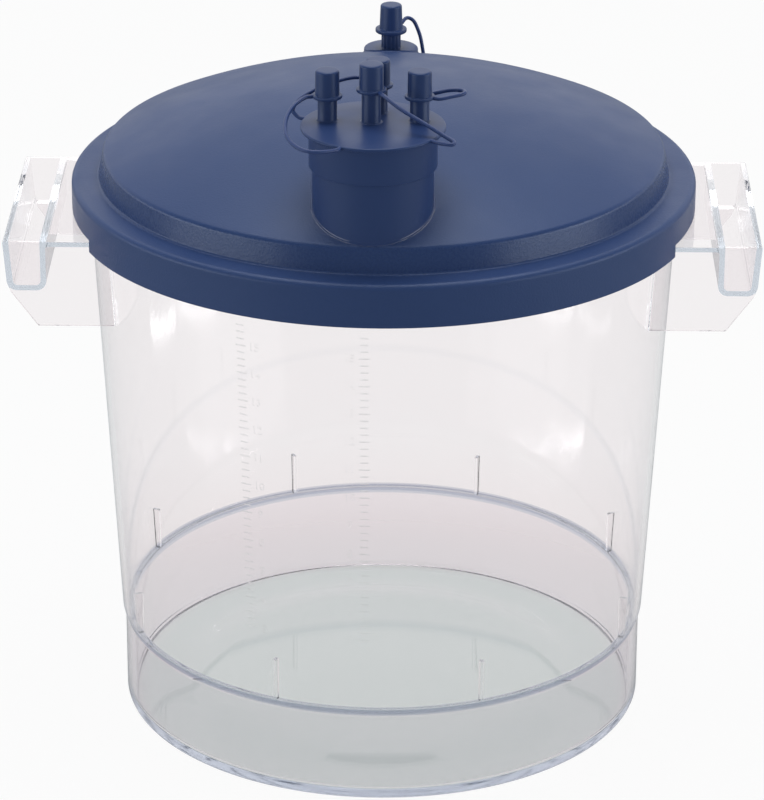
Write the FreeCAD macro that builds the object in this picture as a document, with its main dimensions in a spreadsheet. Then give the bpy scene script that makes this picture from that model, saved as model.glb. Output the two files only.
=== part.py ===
import FreeCAD, Part
import math
import os
import Sketcher
from FreeCAD import Vector

# Suction canister: a clear jar with two carrying handles, a domed lid with a pouring spout, and its caps.
# Millimetres. +X runs to the right handle, the spout is at the front (-Y), +Z is up.
# The origin is the centre of the jar's standing face.

# Driving sizes
SIZES = {
    # jar
    "jar_height": 288.5,
    "foot_radius": 137.4,
    "foot_height": 47.0,
    "foot_wall": 4.2,
    "foot_edge_round": 2.0,
    "shoulder_step": 1.5,
    "ledge_height": 51.3,
    "wall_top_radius": 151.4,
    "wall_thickness": 2.6,
    "floor_thickness": 3.4,
    "floor_round": 5.0,
    "recess_radius": 92.0,
    "recess_rise": 3.5,
    "recess_slope": 20.0,
    "lip_reach": 4.2,
    "lip_depth": 5.0,
    "rib_height": 23.0,
    "rib_thickness": 1.8,
    "rib_edge_gap": 0.4,
    # handles
    "handle_drop": 14.2,
    "handle_reach": 39.2,
    "handle_half_length": 62.5,
    "plate_thickness": 2.9,
    "trough_width": 15.8,
    "trough_depth": 26.5,
    "trough_wall": 2.8,
    "trough_lean": 2.0,
    "trough_round": 5.0,
    "end_plate": 2.0,
    "gusset_drop": 45.2,
    "gusset_setback": 17.0,
    # lid
    "lid_shell": 2.6,
    "rim_thickness": 2.9,
    "rim_round": 3.0,
    "skirt_gap": 2.0,
    "skirt_thickness": 2.4,
    "skirt_depth": 22.1,
    "notch_gap": 1.7,
    "notch_side_gap": 0.8,
    "plug_gap": 0.3,
    "plug_depth": 22.5,
    "plug_thickness": 2.4,
    "band_setback": 1.2,
    "band_lean": 2.3,
    "band_rise": 13.1,
    "crease_round": 3.0,
    "crown_rise": 32.3,
    "spout_turn": 1.93,
    "vacuum_turn": 1.12,
    # spout and its cap
    "spout_margin": 1.55,
    "spout_radius": 29.6,
    "spout_wall": 2.4,
    "spout_rise": 17.5,
    "spout_cap_gap": 0.3,
    "spout_cap_wall": 1.3,
    "spout_cap_depth": 18.5,
    "disc_reach": 4.0,
    "disc_thickness": 1.8,
    "lip_ring_gap": 0.3,
    "lip_ring_wall": 1.4,
    "lip_ring_depth": 5.0,
    # port stems and port caps
    "stem_radius": 4.7,
    "stem_bore": 3.2,
    "side_port_offset": 22.3,
    "side_port_back": 7.0,
    "centre_port_offset": 1.0,
    "centre_port_back": 4.5,
    "rear_port_offset": 2.0,
    "rear_port_back": 19.2,
    "side_cap_lift": 11.3,
    "centre_cap_lift": 15.5,
    "rear_cap_lift": 12.9,
    "cap_fit": 0.08,
    "cap_wall": 1.15,
    "cap_height": 14.0,
    "cap_roof": 1.5,
    "cap_round": 1.2,
    "ring_reach": 1.4,
    "ring_thickness": 1.6,
    # vacuum port, its cap and the shut-off below it
    "boss_radius": 14.5,
    "boss_rise": 2.5,
    "boss_roof": 3.0,
    "chamber_wall": 2.3,
    "chamber_depth": 17.0,
    "vacuum_cap_lift": 9.0,
    "vacuum_cap_height": 15.2,
    "vacuum_cap_wall": 1.4,
    "vacuum_cap_taper": 0.5,
    "vacuum_ring_reach": 2.2,
    "vacuum_ring_thickness": 2.0,
    "cage_gap": 0.1,
    "cage_wall": 1.5,
    "cage_length": 55.0,
    "cage_floor": 2.0,
    "cage_hole": 5.0,
    "window_width": 10.0,
    "window_sill": 6.0,
    "float_gap": 1.0,
    "float_height": 26.0,
    "float_round": 3.0,
    "seal_radius": 7.0,
    "seal_thickness": 2.0,
    # straps
    "strap_radius": 1.0,
    "strap_gap": 0.3,
    "strap_stub": 3.0,
}

RIB_COUNT = 8
WINDOW_COUNT = 4
CUT_OVERRUN = 1.0

doc = FreeCAD.newDocument("suction_canister")
sheet = doc.addObject("Spreadsheet::Sheet", "Sizes")
for row, (name, value) in enumerate(SIZES.items(), start=1):
    sheet.set(f"A{row}", name.replace("_", " "))
    sheet.set(f"B{row}", str(value))
    sheet.setAlias(f"B{row}", name)
doc.recompute()


class Size:
    """A number together with the formula that gives it from the sheet."""

    def __init__(self, value, formula):
        self.value = float(value)
        self.formula = formula

    def __add__(self, other):
        other = as_size(other)
        return Size(self.value + other.value, f"({self.formula} + {other.formula})")

    def __sub__(self, other):
        other = as_size(other)
        return Size(self.value - other.value, f"({self.formula} - {other.formula})")

    def __mul__(self, other):
        other = as_size(other)
        return Size(self.value * other.value, f"({self.formula} * {other.formula})")

    def __truediv__(self, other):
        other = as_size(other)
        return Size(self.value / other.value, f"({self.formula} / {other.formula})")

    def __neg__(self):
        return Size(-self.value, f"(0 - {self.formula})")


def as_size(thing):
    return thing if isinstance(thing, Size) else Size(thing, repr(float(thing)))


def given(name):
    """A driving size, read back from the sheet."""
    return Size(sheet.get(name), f"Sizes.{name}")


def root(size):
    return Size(math.sqrt(size.value), f"sqrt({size.formula})")


def across(hypotenuse, side):
    """The other short side of a right triangle."""
    return root(hypotenuse * hypotenuse - side * side)


def sine(angle):
    return Size(math.sin(math.radians(angle.value)), f"sin({angle.formula})")


def cosine(angle):
    return Size(math.cos(math.radians(angle.value)), f"cos({angle.formula})")


def tangent(angle):
    return Size(math.tan(math.radians(angle.value)), f"tan({angle.formula})")


def arcsine(ratio):
    return Size(math.degrees(math.asin(ratio.value)), f"asin({ratio.formula})")


def arctangent(ratio):
    return Size(math.degrees(math.atan(ratio.value)), f"atan({ratio.formula})")


ZERO = as_size(0.0)


# Sketches and features
def origin_feature(body, role):
    return next(feature for feature in body.Origin.OriginFeatures if feature.Role == role)


def new_body(label):
    body = doc.addObject("PartDesign::Body", label)
    body.Label = label
    return body


def new_sketch(body, name, role, height=None):
    """Sketch on one of the body's own origin planes, raised along the plane's normal."""
    sketch = body.newObject("Sketcher::SketchObject", name)
    sketch.AttachmentSupport = [(origin_feature(body, role), "")]
    sketch.MapMode = "FlatFace"
    if height is not None:
        sketch.AttachmentOffset = FreeCAD.Placement(Vector(0, 0, height.value), FreeCAD.Rotation())
        sketch.setExpression("AttachmentOffset.Base.z", height.formula)
    return sketch


def bind(sketch, constraint, size):
    number = sketch.addConstraint(constraint)
    sketch.setExpression(f"Constraints[{number}]", size.formula)


def pin_point(sketch, index, end, x, y):
    bind(sketch, Sketcher.Constraint("DistanceX", -1, 1, index, end, x.value), x)
    bind(sketch, Sketcher.Constraint("DistanceY", -1, 1, index, end, y.value), y)


def arc_between(start, stop, radius, side):
    """Short arc from start to stop that bulges to the right (1) or to the left (-1) of the way."""
    way = stop - start
    half = way.Length / 2
    bulge = radius - math.sqrt(radius * radius - half * half)
    outward = Vector(way.y, -way.x, 0).normalize() * (side * bulge)
    return Part.Arc(start, start + way * 0.5 + outward, stop)


def add_outline(sketch, corners):
    """Closed outline. A corner is (x, y), or (x, y, radius, side) where an arc leads on from it."""
    edges = []
    for number, corner in enumerate(corners):
        following = corners[(number + 1) % len(corners)]
        start = Vector(corner[0].value, corner[1].value, 0)
        stop = Vector(following[0].value, following[1].value, 0)
        if len(corner) == 2:
            index = sketch.addGeometry(Part.LineSegment(start, stop), False)
        else:
            index = sketch.addGeometry(arc_between(start, stop, corner[2].value, corner[3]), False)
            bind(sketch, Sketcher.Constraint("Radius", index, corner[2].value), corner[2])
        ends = (1, 2)
        from_first = sketch.getPoint(index, 1).distanceToPoint(start)
        from_second = sketch.getPoint(index, 2).distanceToPoint(start)
        if from_second < from_first:
            ends = (2, 1)
        edges.append((index, ends))
    for number, (index, ends) in enumerate(edges):
        after, after_ends = edges[(number + 1) % len(edges)]
        sketch.addConstraint(Sketcher.Constraint("Coincident", index, ends[1], after, after_ends[0]))
        pin_point(sketch, index, ends[0], corners[number][0], corners[number][1])


def mirrored(sign, corners):
    """The same outline on the other side of X where sign is -1."""
    turned = []
    for x, y, *arc in corners:
        turned.append((x * sign, y, arc[0], arc[1] * sign) if arc else (x * sign, y))
    return turned


def add_circle(sketch, x, y, radius):
    circle = Part.Circle(Vector(x.value, y.value, 0), Vector(0, 0, 1), radius.value)
    index = sketch.addGeometry(circle, False)
    bind(sketch, Sketcher.Constraint("Radius", index, radius.value), radius)
    pin_point(sketch, index, 3, x, y)


def finished(body, feature, cuts):
    """Recomputes, and stops where a feature adds or removes nothing."""
    before = body.Shape.Volume if not body.Shape.isNull() else 0.0
    body.Tip = feature
    doc.recompute()
    change = body.Shape.Volume - before
    if (change >= -1e-6) if cuts else (change <= 1e-6):
        raise RuntimeError(f"{body.Label}: {feature.Name} changes the volume by {change:.3f}")
    return feature


def add_turned(body, name, sketch, cuts=False):
    """Revolution or groove of a sketch about its vertical axis."""
    feature = body.newObject("PartDesign::Groove" if cuts else "PartDesign::Revolution", name)
    feature.Profile = sketch
    feature.ReferenceAxis = (sketch, ["V_Axis"])
    feature.Angle = 360.0
    return finished(body, feature, cuts)


def add_run(body, name, sketch, length, cuts=False, symmetric=False, downward=False):
    """Pad or pocket of a sketch; it grows along the sketch's normal, or against it when downward."""
    feature = body.newObject("PartDesign::Pocket" if cuts else "PartDesign::Pad", name)
    feature.Profile = sketch
    feature.Type = "Length"
    feature.Length = length.value
    feature.setExpression("Length", length.formula)
    feature.SideType = "Symmetric" if symmetric else "One side"
    feature.Reversed = (not downward) if cuts else downward
    return finished(body, feature, cuts)


def add_ring_of(body, name, feature, count, cuts=False):
    """Copies of a feature, evenly round the body's Z axis."""
    pattern = body.newObject("PartDesign::PolarPattern", name)
    pattern.Originals = [feature]
    pattern.Axis = (origin_feature(body, "Z_Axis"), [""])
    pattern.Angle = 360.0
    pattern.Occurrences = count
    return finished(body, pattern, cuts)


def turned_body(label, corners):
    """Body that is one revolved outline."""
    body = new_body(label)
    sketch = new_sketch(body, f"{label}_outline", "XZ_Plane")
    add_outline(sketch, corners)
    add_turned(body, f"{label}_turned", sketch)
    return body


def place(thing, x, y, z):
    """Placement of a finished sub-part, bound to the sheet."""
    thing.Placement = FreeCAD.Placement(Vector(x.value, y.value, z.value), FreeCAD.Rotation())
    for axis, size in (("x", x), ("y", y), ("z", z)):
        thing.setExpression(f"Placement.Base.{axis}", size.formula)


# Sizes worked out from the driving ones
jar_height = given("jar_height")
ledge_height = given("ledge_height")
foot_radius = given("foot_radius")
wall_thickness = given("wall_thickness")
wall_top_radius = given("wall_top_radius")
wall_low_radius = foot_radius + given("shoulder_step")
ledge_radius = foot_radius - given("foot_wall")
bore_top_radius = wall_top_radius - wall_thickness
bore_low_radius = wall_low_radius - wall_thickness
lip_radius = wall_top_radius + given("lip_reach")

handle_top = jar_height - given("handle_drop")
handle_end_x = wall_top_radius + given("handle_reach")
trough_wall = given("trough_wall")
trough_inner_x = handle_end_x - trough_wall - given("trough_width")
trough_bottom = handle_top - given("trough_depth")
gusset_bottom = handle_top - given("gusset_drop")
handle_half_length = given("handle_half_length")
handle_root_x = across(ledge_radius, handle_half_length)

skirt_inner_radius = lip_radius + given("skirt_gap")
lid_radius = skirt_inner_radius + given("skirt_thickness")
rim_height = jar_height + given("rim_thickness")
skirt_bottom = rim_height - given("skirt_depth")
notch_top = handle_top + given("notch_gap")
wall_slope = (wall_top_radius - wall_low_radius) / (jar_height - ledge_height)
plug_depth = given("plug_depth")
plug_radius = bore_top_radius - wall_slope * plug_depth - given("plug_gap")
band_radius = plug_radius - given("band_setback")
crease_radius = band_radius - given("band_lean")
crease_height = rim_height + given("band_rise")
crown_rise = given("crown_rise")
crown_height = crease_height + crown_rise
lid_shell = given("lid_shell")
dome_curve = (crease_radius * crease_radius + crown_rise * crown_rise) / (crown_rise * 2.0)
dome_centre = crown_height - dome_curve

spout_radius = given("spout_radius")
port_distance = crease_radius - spout_radius - given("spout_margin")
spout_x = -(port_distance * sine(given("spout_turn")))
spout_y = -(port_distance * cosine(given("spout_turn")))
vacuum_x = port_distance * sine(given("vacuum_turn"))
vacuum_y = port_distance * cosine(given("vacuum_turn"))
spout_bore = spout_radius - given("spout_wall")
spout_top = crown_height + given("spout_rise")
disc_thickness = given("disc_thickness")
disc_top = spout_top + disc_thickness
spout_cap_inner = spout_radius + given("spout_cap_gap")
spout_cap_radius = spout_cap_inner + given("spout_cap_wall")
disc_radius = spout_cap_radius + given("disc_reach")

stem_radius = given("stem_radius")
stem_bore = given("stem_bore")
cap_bore = stem_radius + given("cap_fit")
cap_radius = cap_bore + given("cap_wall")
ring_radius = cap_radius + given("ring_reach")
ring_thickness = given("ring_thickness")
cap_height = given("cap_height")
cap_roof = given("cap_roof")

boss_radius = given("boss_radius")
boss_top = dome_centre + across(dome_curve, port_distance) + given("boss_rise")
chamber_radius = boss_radius - given("chamber_wall")
chamber_top = boss_top - given("boss_roof")
socket_bottom = chamber_top - given("chamber_depth")
vacuum_cap_lift = given("vacuum_cap_lift")
vacuum_cap_height = given("vacuum_cap_height")
vacuum_cap_radius = cap_bore + given("vacuum_cap_wall")
vacuum_ring_radius = vacuum_cap_radius + given("vacuum_ring_reach")
cage_radius = chamber_radius - given("cage_gap")
cage_inner = cage_radius - given("cage_wall")
cage_length = given("cage_length")
cage_floor = given("cage_floor")
float_radius = cage_inner - given("float_gap")
float_height = given("float_height")


# Port stems: name, place from the spout's axis, height of the cap's lower face above the disc
side_offset = given("side_port_offset")
side_back = given("side_port_back")
PORTS = {
    "left": (-side_offset, side_back, given("side_cap_lift")),
    "centre": (-given("centre_port_offset"), given("centre_port_back"), given("centre_cap_lift")),
    "right": (side_offset, side_back, given("side_cap_lift")),
    "rear": (given("rear_port_offset"), given("rear_port_back"), given("rear_cap_lift")),
}


def make_jar():
    """Clear jar: foot, tapered wall, rim lip, inner ledge with stacking ribs, and two trough handles."""
    body = new_body("jar")
    plate_low = handle_top - given("plate_thickness")
    rounding = given("trough_round")
    lean_x = handle_end_x - given("trough_lean")
    inner_wall_x = trough_inner_x - trough_wall

    # one block from handle to handle, with the gussets' sloping edges
    block = new_sketch(body, "handle_block", "XZ_Plane")
    toe_x = handle_end_x - given("gusset_setback")
    add_outline(block, [(-toe_x, gusset_bottom), (toe_x, gusset_bottom), (lean_x, trough_bottom),
                        (handle_end_x, handle_top), (-handle_end_x, handle_top), (-lean_x, trough_bottom)])
    add_run(body, "handle_pad", block, handle_half_length * 2.0, symmetric=True)

    # finger space below the plate and outside the trough, between the end plates
    between_plates = (handle_half_length - given("end_plate")) * 2.0
    below = gusset_bottom - CUT_OVERRUN
    for side, sign in (("right", 1.0), ("left", -1.0)):
        under = new_sketch(body, f"finger_space_{side}", "XZ_Plane")
        add_outline(under, mirrored(sign, [
            (handle_root_x, below), (handle_root_x, plate_low), (inner_wall_x, plate_low),
            (inner_wall_x, trough_bottom + rounding, rounding, 1),
            (inner_wall_x + rounding, trough_bottom),
            (lean_x - rounding, trough_bottom, rounding, 1),
            (lean_x + given("trough_lean") * rounding / given("trough_depth"), trough_bottom + rounding),
            (handle_end_x + CUT_OVERRUN, trough_bottom + rounding), (handle_end_x + CUT_OVERRUN, below)]))
        add_run(body, f"finger_pocket_{side}", under, between_plates, cuts=True, symmetric=True)

        # the trough itself, open at the top
        hollow = new_sketch(body, f"trough_{side}", "XZ_Plane")
        inner_round = rounding - trough_wall
        hollow_low = trough_bottom + trough_wall
        hollow_end_x = handle_end_x - trough_wall
        add_outline(hollow, mirrored(sign, [
            (trough_inner_x, handle_top + CUT_OVERRUN),
            (trough_inner_x, hollow_low + inner_round, inner_round, 1),
            (trough_inner_x + inner_round, hollow_low),
            (lean_x - trough_wall - inner_round, hollow_low, inner_round, 1),
            (lean_x - trough_wall, hollow_low + inner_round),
            (hollow_end_x, handle_top), (hollow_end_x, handle_top + CUT_OVERRUN)]))
        add_run(body, f"trough_pocket_{side}", hollow, between_plates, cuts=True, symmetric=True)

    # the jar's outside, as one turned solid
    outside = new_sketch(body, "jar_outside", "XZ_Plane")
    edge_round = given("foot_edge_round")
    recess_rise = given("recess_rise")
    recess_radius = given("recess_radius")
    recess_slope = given("recess_slope")
    lip_bottom = jar_height - given("lip_depth")
    wall_at_lip = wall_top_radius - wall_slope * given("lip_depth")
    add_outline(outside, [
        (ZERO, recess_rise), (recess_radius, recess_rise), (recess_radius + recess_slope, ZERO),
        (foot_radius - edge_round, ZERO, edge_round, 1), (foot_radius, edge_round),
        (foot_radius, given("foot_height")), (wall_low_radius, ledge_height),
        (wall_at_lip, lip_bottom), (lip_radius, lip_bottom), (lip_radius, jar_height), (ZERO, jar_height)])
    add_turned(body, "jar_solid", outside)

    # the jar's inside: bore, ledge and floor with its raised centre
    inside = new_sketch(body, "jar_inside", "XZ_Plane")
    floor_thickness = given("floor_thickness")
    floor_round = given("floor_round")
    add_outline(inside, [
        (ZERO, recess_rise + floor_thickness), (recess_radius, recess_rise + floor_thickness),
        (recess_radius + recess_slope, floor_thickness),
        (ledge_radius - floor_round, floor_thickness, floor_round, 1),
        (ledge_radius, floor_thickness + floor_round), (ledge_radius, ledge_height),
        (bore_low_radius, ledge_height), (bore_top_radius, jar_height),
        (bore_top_radius, jar_height + CUT_OVERRUN), (ZERO, jar_height + CUT_OVERRUN)])
    add_turned(body, "jar_bore", inside, cuts=True)

    # stacking ribs on the ledge; the first stands half a step from the handle's line
    ribs = new_sketch(body, "rib_plan", "XY_Plane", ledge_height)
    half = given("rib_thickness") / 2.0
    near = ledge_radius + given("rib_edge_gap")
    far = wall_low_radius - wall_thickness / 2.0
    turn = as_size(180.0 / RIB_COUNT)
    along = (cosine(turn), sine(turn))
    aside = (-sine(turn), cosine(turn))

    def rib_corner(out, over):
        return (along[0] * out + aside[0] * over, along[1] * out + aside[1] * over)

    add_outline(ribs, [rib_corner(near, -half), rib_corner(far, -half),
                       rib_corner(far, half), rib_corner(near, half)])
    rib = add_run(body, "stacking_rib", ribs, given("rib_height"))
    add_ring_of(body, "stacking_ribs", rib, RIB_COUNT)
    return body


def make_lid():
    """Domed lid in one moulding: shell, rim, notched skirt, plug wall, spout, boss, stem and cage socket."""
    body = new_body("lid")

    # filled form first: dome, soft crease, steep band, flat rim with a rounded edge, skirt
    outside = new_sketch(body, "lid_outside", "XZ_Plane")
    rim_round = given("rim_round")
    band_lean = given("band_lean")
    band_rise = given("band_rise")
    crease_length = given("crease_round")
    band_length = root(band_lean * band_lean + band_rise * band_rise)
    dome_slope = arcsine(crease_radius / dome_curve)
    crease_turn = arctangent(band_rise / band_lean) - dome_slope
    crease_curve = crease_length / tangent(crease_turn / 2.0)
    crease_start = crease_radius - crease_length * cosine(dome_slope)
    add_outline(outside, [
        (ZERO, skirt_bottom), (lid_radius, skirt_bottom), (lid_radius, rim_height - rim_round, rim_round, 1),
        (lid_radius - rim_round, rim_height), (band_radius, rim_height),
        (crease_radius + crease_length * band_lean / band_length,
         crease_height - crease_length * band_rise / band_length, crease_curve, 1),
        (crease_start, dome_centre + across(dome_curve, crease_start), dome_curve, 1),
        (ZERO, crown_height)])
    add_turned(body, "lid_solid", outside)

    spout_plan = new_sketch(body, "spout_plan", "XY_Plane", rim_height)
    add_circle(spout_plan, spout_x, spout_y, spout_radius)
    add_run(body, "spout_tube", spout_plan, spout_top - rim_height)

    # hollow of the dome and of the skirt
    inside = new_sketch(body, "lid_inside", "XZ_Plane")
    inner_curve = dome_curve - lid_shell
    inner_crease = crease_radius - lid_shell
    skirt_end = skirt_bottom - CUT_OVERRUN
    add_outline(inside, [
        (ZERO, skirt_end), (skirt_inner_radius, skirt_end), (skirt_inner_radius, jar_height),
        (band_radius - lid_shell, jar_height),
        (inner_crease, dome_centre + across(inner_curve, inner_crease), inner_curve, 1),
        (ZERO, crown_height - lid_shell)])
    add_turned(body, "lid_hollow", inside, cuts=True)

    # the skirt is short over the handles
    notch = new_sketch(body, "skirt_notch", "YZ_Plane")
    notch_half = handle_half_length + given("notch_side_gap")
    add_outline(notch, [(-notch_half, skirt_end), (notch_half, skirt_end),
                        (notch_half, notch_top), (-notch_half, notch_top)])
    add_run(body, "skirt_notches", notch, (lid_radius + CUT_OVERRUN) * 2.0, cuts=True, symmetric=True)

    # plug wall inside the jar's mouth
    plug = new_sketch(body, "plug_outline", "XZ_Plane")
    plug_inner = plug_radius - given("plug_thickness")
    plug_bottom = jar_height - plug_depth
    plug_root = jar_height + given("rim_thickness") / 2.0
    add_outline(plug, [(plug_inner, plug_bottom), (plug_radius, plug_bottom),
                       (plug_radius, plug_root), (plug_inner, plug_root)])
    add_turned(body, "plug_wall", plug)

    # vacuum boss above the dome with the shut-off's socket below, and the stem on it
    boss = new_sketch(body, "boss_plan", "XY_Plane", socket_bottom)
    add_circle(boss, vacuum_x, vacuum_y, boss_radius)
    add_run(body, "vacuum_boss", boss, boss_top - socket_bottom)
    stem = new_sketch(body, "vacuum_stem_plan", "XY_Plane", boss_top)
    add_circle(stem, vacuum_x, vacuum_y, stem_radius)
    add_run(body, "vacuum_stem", stem, vacuum_cap_lift + vacuum_cap_height - cap_roof)

    # chamber, bores and the open spout
    chamber = new_sketch(body, "chamber_plan", "XY_Plane", chamber_top)
    add_circle(chamber, vacuum_x, vacuum_y, chamber_radius)
    add_run(body, "chamber", chamber, given("chamber_depth") + CUT_OVERRUN, cuts=True, downward=True)
    bore = new_sketch(body, "vacuum_bore_plan", "XY_Plane", chamber_top - CUT_OVERRUN)
    add_circle(bore, vacuum_x, vacuum_y, stem_bore)
    bore_length = boss_top + vacuum_cap_lift + vacuum_cap_height - chamber_top + CUT_OVERRUN
    add_run(body, "vacuum_bore", bore, bore_length, cuts=True)
    mouth = new_sketch(body, "spout_bore_plan", "XY_Plane", spout_top)
    add_circle(mouth, spout_x, spout_y, spout_bore)
    add_run(body, "spout_bore", mouth, spout_top - rim_height, cuts=True, downward=True)
    return body


def make_spout_cap():
    """Cap over the spout: disc, outer skirt, inner lip ring and four tube stems."""
    label = "spout_cap"
    edge = disc_thickness / 3.0
    skirt_low = -(disc_thickness + given("spout_cap_depth"))
    lip_outer = spout_bore - given("lip_ring_gap")
    lip_inner = lip_outer - given("lip_ring_wall")
    lip_low = -(disc_thickness + given("lip_ring_depth"))
    body = turned_body(label, [
        (ZERO, -disc_thickness), (lip_inner, -disc_thickness), (lip_inner, lip_low), (lip_outer, lip_low),
        (lip_outer, -disc_thickness), (spout_cap_inner, -disc_thickness), (spout_cap_inner, skirt_low),
        (spout_cap_radius, skirt_low), (spout_cap_radius, -disc_thickness),
        (disc_radius - edge, -disc_thickness, edge, 1), (disc_radius, -(disc_thickness - edge)),
        (disc_radius, -edge, edge, 1), (disc_radius - edge, ZERO), (ZERO, ZERO)])
    for name, (x, y, lift) in PORTS.items():
        length = lift + cap_height - cap_roof
        stem = new_sketch(body, f"stem_plan_{name}", "XY_Plane", -disc_thickness / 2.0)
        add_circle(stem, x, y, stem_radius)
        add_run(body, f"stem_{name}", stem, length + disc_thickness / 2.0)
        bore = new_sketch(body, f"bore_plan_{name}", "XY_Plane", length + CUT_OVERRUN)
        add_circle(bore, x, y, stem_bore)
        add_run(body, f"bore_{name}", bore, length + disc_thickness + CUT_OVERRUN * 2.0, cuts=True,
                downward=True)
    place(body, spout_x, spout_y, disc_top)
    return body


def make_tube_cap(label, outer, taper, ring, ring_depth, height):
    """Cap for a tube stem: closed top, slightly tapered barrel and a flange ring at its open end."""
    top_round = given("cap_round")
    top_radius = outer - taper
    return turned_body(label, [
        (cap_bore, ZERO), (ring, ZERO), (ring, ring_depth), (outer, ring_depth),
        (top_radius, height - top_round, top_round, 1), (top_radius - top_round, height),
        (ZERO, height), (ZERO, height - cap_roof), (cap_bore, height - cap_roof)])


def make_port_caps():
    caps = []
    for name, (x, y, lift) in PORTS.items():
        cap = make_tube_cap(f"port_cap_{name}", cap_radius, ZERO, ring_radius, ring_thickness, cap_height)
        place(cap, spout_x + x, spout_y + y, disc_top + lift)
        caps.append(cap)
    return caps


def make_vacuum_cap():
    cap = make_tube_cap("vacuum_cap", vacuum_cap_radius, given("vacuum_cap_taper"), vacuum_ring_radius,
                        given("vacuum_ring_thickness"), vacuum_cap_height)
    place(cap, vacuum_x, vacuum_y, boss_top + vacuum_cap_lift)
    return cap


def make_float_cage():
    """Cage of the overflow shut-off: a tube with windows and a holed floor. Its origin is its top face."""
    low = -cage_length
    body = turned_body("float_cage", [
        (given("cage_hole"), low), (cage_radius, low), (cage_radius, ZERO), (cage_inner, ZERO),
        (cage_inner, low + cage_floor), (given("cage_hole"), low + cage_floor)])
    sill = low + cage_floor + given("window_sill")
    half = given("window_width") / 2.0
    window = new_sketch(body, "window_outline", "XZ_Plane")
    add_outline(window, [(-half, sill), (half, sill), (half, -given("chamber_depth")),
                         (-half, -given("chamber_depth"))])
    cut = add_run(body, "window", window, cage_radius + CUT_OVERRUN, cuts=True)
    add_ring_of(body, "windows", cut, WINDOW_COUNT, cuts=True)
    place(body, vacuum_x, vacuum_y, chamber_top)
    return body


def make_float():
    """Float that rests on the cage's floor. Its origin is its lower face."""
    rounding = given("float_round")
    body = turned_body("shutoff_float", [
        (ZERO, ZERO), (float_radius - rounding, ZERO, rounding, 1), (float_radius, rounding),
        (float_radius, float_height - rounding, rounding, 1), (float_radius - rounding, float_height),
        (ZERO, float_height)])
    place(body, vacuum_x, vacuum_y, chamber_top - cage_length + cage_floor)
    return body


def make_float_seal():
    """Rubber disc on top of the float."""
    seal = doc.addObject("Part::Cylinder", "float_seal")
    seal.Label = "float_seal"
    for name, size in (("Radius", given("seal_radius")), ("Height", given("seal_thickness"))):
        setattr(seal, name, size.value)
        seal.setExpression(name, size.formula)
    place(seal, vacuum_x, vacuum_y, chamber_top - cage_length + cage_floor + float_height)
    return seal


# Straps. Points are chosen by hand: millimetres from the spout's axis, and above the disc's top face.
STRAP_ROUTES = {
    "left": [(-39.0, -0.8, 9.4), (-42.2, -13.0, 6.0), (-41.2, -25.4, 2.8), (-35.8, -35.4, 0.4),
             (-27.5, -40.4, 0.0)],
    "centre": [(12.5, -10.0, 11.8), (27.0, -16.5, 5.2), (35.4, -20.0, 0.8), (39.4, -22.2, -0.6),
               (38.4, -25.8, -0.9)],
    "right": [(38.5, 5.4, 12.9), (44.6, 8.0, 13.4), (43.4, 13.0, 13.4), (36.5, 15.2, 12.8),
              (27.5, 15.8, 10.2), (23.5, 24.0, 7.0), (24.5, 33.0, 1.5), (21.5, 37.6, -0.9)],
    "rear": [(-12.0, 27.5, 15.0), (-31.5, 18.8, 10.2), (-40.5, 13.5, 3.4)],
}
# bearing of each strap's two ends, in degrees: on its cap's ring, and on the disc's edge
STRAP_BEARINGS = {"left": (190.0, 244.0), "centre": (-55.0, -36.0), "right": (-20.0, 60.0),
                  "rear": (120.0, 162.0)}
# the vacuum strap: millimetres from the vacuum stem's axis, and above the boss
VACUUM_ROUTE = [(8.0, 13.0, 13.0), (12.0, 14.0, 11.0), (14.4, 13.6, 5.6), (16.2, 12.4, 0.4)]
VACUUM_BEARING = 62.0
VACUUM_FOOT = (17.4, 11.6)


def strap_solid(points, radius):
    """Round strap along straight runs joined by tangent arcs."""
    edges = []
    at = points[0]
    for before, corner, after in zip(points, points[1:], points[2:]):
        arriving = corner - before
        leaving = after - corner
        reach = 0.45 * min(arriving.Length, leaving.Length)
        arriving.normalize()
        leaving.normalize()
        start = corner - arriving * reach
        stop = corner + leaving * reach
        halfway = (leaving - arriving).normalize()
        half_turn = arriving.getAngle(leaving) / 2
        bend = reach / math.tan(half_turn)
        centre = corner + halfway * (bend / math.cos(half_turn))
        edges.append(Part.LineSegment(at, start).toShape())
        edges.append(Part.Arc(start, centre - halfway * bend, stop).toShape())
        at = stop
    edges.append(Part.LineSegment(at, points[-1]).toShape())
    path = Part.Wire(edges)
    section = Part.Wire([Part.makeCircle(radius, points[0], (points[1] - points[0]).normalize())])
    solid = path.makePipeShell([section], True, False)
    wanted = math.pi * radius * radius * path.Length
    if abs(solid.Volume - wanted) > 0.01 * wanted:
        raise RuntimeError(f"strap volume {solid.Volume:.2f} differs from {wanted:.2f}")
    return solid


def on_circle(radius, bearing, height):
    angle = math.radians(bearing)
    return Vector(radius * math.cos(angle), radius * math.sin(angle), height)


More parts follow.
